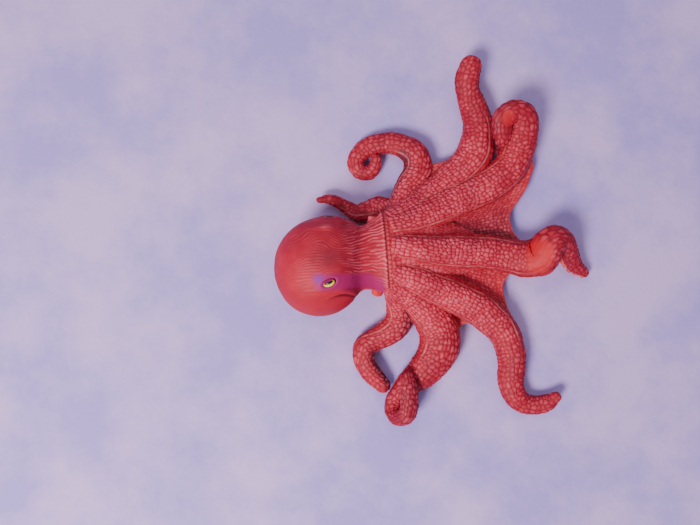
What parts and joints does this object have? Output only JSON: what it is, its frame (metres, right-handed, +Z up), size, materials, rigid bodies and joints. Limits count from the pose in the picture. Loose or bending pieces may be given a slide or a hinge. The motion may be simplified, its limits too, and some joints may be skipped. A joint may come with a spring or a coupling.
{
  "type": "octopus figure",
  "caption": "Soft moulded octopus figure in a crawling pose, with a glued hollow head and arms that flex sideways.",
  "frame": {"origin": "on the table, under the middle of the outline, close to the middle of the arm crown", "axes": "+X towards the front arms with the mantle towards -X, +Y the animal's left, +Z up from the table"},
  "size_m": [0.153, 0.1793, 0.0464],
  "materials": {
    "skin": "satin soft plastic with dry-brushed paint",
    "underside": "satin soft plastic",
    "plug": "matt soft plastic",
    "eye": "glossy paint"
  },
  "bodies": {
    "crown": {"arm_crown": "skin", "mouth_plate": "underside", "mantle_shell": "skin", "neck_plug": "plug", "siphon": "skin", "right_eye": "eye", "left_eye": "eye"},
    "left_arm_1": {"left_arm_1": "skin"},
    "left_arm_2": {"left_arm_2": "skin"},
    "left_arm_3": {"left_arm_3": "skin"},
    "left_arm_4": {"left_arm_4": "skin"},
    "right_arm_1": {"right_arm_1": "skin"},
    "right_arm_2": {"right_arm_2": "skin"},
    "right_arm_3": {"right_arm_3": "skin"},
    "right_arm_4": {"right_arm_4": "skin"}
  },
  "joints": [
    {"name": "left_arm_1_flex", "type": "hinge", "parent": "crown", "child": "left_arm_1", "pos_m": [0.03087, 0.03076, 0.00795], "axis": [0, 0, 1], "range_deg": [-15, 0], "stiffness_Nm_per_rad": 0.25},
    {"name": "left_arm_2_flex", "type": "hinge", "parent": "crown", "child": "left_arm_2", "pos_m": [0.01852, 0.04154, 0.0074], "axis": [0, 0, 1], "range_deg": [0, 12], "stiffness_Nm_per_rad": 0.268},
    {"name": "left_arm_3_flex", "type": "hinge", "parent": "crown", "child": "left_arm_3", "pos_m": [-0.00795, 0.0353, 0.00656], "axis": [0, 0, 1], "range_deg": [-12, 12], "stiffness_Nm_per_rad": 0.157},
    {"name": "left_arm_4_flex", "type": "hinge", "parent": "crown", "child": "left_arm_4", "pos_m": [-0.0264, 0.01898, 0.00602], "axis": [0, 0, 1], "range_deg": [-12, 8], "stiffness_Nm_per_rad": 0.031},
    {"name": "right_arm_1_flex", "type": "hinge", "parent": "crown", "child": "right_arm_1", "pos_m": [0.03079, -0.00555, 0.00878], "axis": [0, 0, 1], "range_deg": [-15, 15], "stiffness_Nm_per_rad": 0.25},
    {"name": "right_arm_2_flex", "type": "hinge", "parent": "crown", "child": "right_arm_2", "pos_m": [0.02763, -0.03712, 0.00797], "axis": [0, 0, 1], "range_deg": [-15, 15], "stiffness_Nm_per_rad": 0.233},
    {"name": "right_arm_3_flex", "type": "hinge", "parent": "crown", "child": "right_arm_3", "pos_m": [0.00153, -0.04211, 0.00819], "axis": [0, 0, 1], "range_deg": [0, 12], "stiffness_Nm_per_rad": 0.362},
    {"name": "right_arm_4_flex", "type": "hinge", "parent": "crown", "child": "right_arm_4", "pos_m": [-0.01852, -0.03953, 0.0066], "axis": [0, 0, 1], "range_deg": [-10, 0], "stiffness_Nm_per_rad": 0.105}
  ]
}
